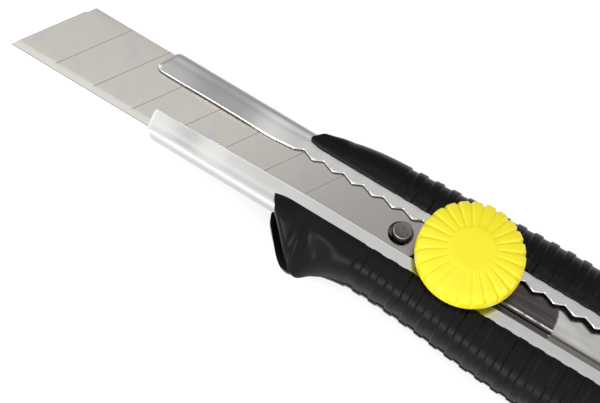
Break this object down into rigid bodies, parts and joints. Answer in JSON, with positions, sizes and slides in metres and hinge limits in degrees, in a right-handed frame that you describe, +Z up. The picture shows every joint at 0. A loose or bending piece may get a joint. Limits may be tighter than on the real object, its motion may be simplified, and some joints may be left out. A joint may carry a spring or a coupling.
{
  "type": "utility knife",
  "caption": "Snap-off utility knife: a scored blade in a stainless channel, ribbed black grips with a finger guard, and a yellow wheel that locks the slide.",
  "frame": {"origin": "middle of the handle's length, on the flat underside pad that the knife lies on", "axes": "+Z up through the wheel, -X along the knife towards the blade's tip, +Y towards the blade's spine"},
  "size_m": [0.1955, 0.0377, 0.0205],
  "materials": {
    "blade_steel": "ground and lightly oiled",
    "stainless_sheet": "satin rolled sheet",
    "dark_steel": "dark nickel",
    "zinc_steel": "zinc plated",
    "brass": "turned",
    "yellow_plastic": "semi-gloss moulding",
    "black_nylon": "fine moulded texture",
    "black_rubber": "soft satin"
  },
  "bodies": {
    "handle": {"handle_core": "black_nylon", "channel": "stainless_sheet", "grip_spine": "black_rubber", "grip_edge": "black_rubber", "underside_pad": "black_rubber", "channel_screw_1": "zinc_steel", "channel_screw_2": "zinc_steel", "channel_screw_3": "zinc_steel", "channel_screw_4": "zinc_steel"},
    "carriage": {"carrier_plate": "dark_steel", "blade_stud": "dark_steel", "blade": "blade_steel", "pressure_plate": "zinc_steel", "spring_washer": "zinc_steel"},
    "wheel": {"wheel": "yellow_plastic", "wheel_insert": "brass"},
    "lock": {"lock_plate": "dark_steel", "clamp_bolt": "zinc_steel"},
    "cap": {"end_cap": "black_nylon", "cap_spring": "zinc_steel"}
  },
  "joints": [
    {"name": "blade_slide", "type": "slide", "parent": "handle", "child": "carriage", "axis": [-1, 0, 0], "range_m": [-0.04064, 0.04572]},
    {"name": "wheel_turn", "type": "hinge", "parent": "carriage", "child": "wheel", "pos_m": [-0.0205, 0.002, 0.0155], "axis": [0, 0, -1], "range_deg": [0, 360]},
    {"name": "lock_rise", "type": "slide", "parent": "carriage", "child": "lock", "axis": [0, 0, 1], "range_m": [0, 0.0007]},
    {"name": "cap_pull", "type": "slide", "parent": "handle", "child": "cap", "axis": [1, 0, 0], "range_m": [0, 0.025]}
  ],
  "couplings": [
    {"joint": "lock_rise", "follows": "wheel_turn", "m_per_rad": 0.00011141}
  ]
}
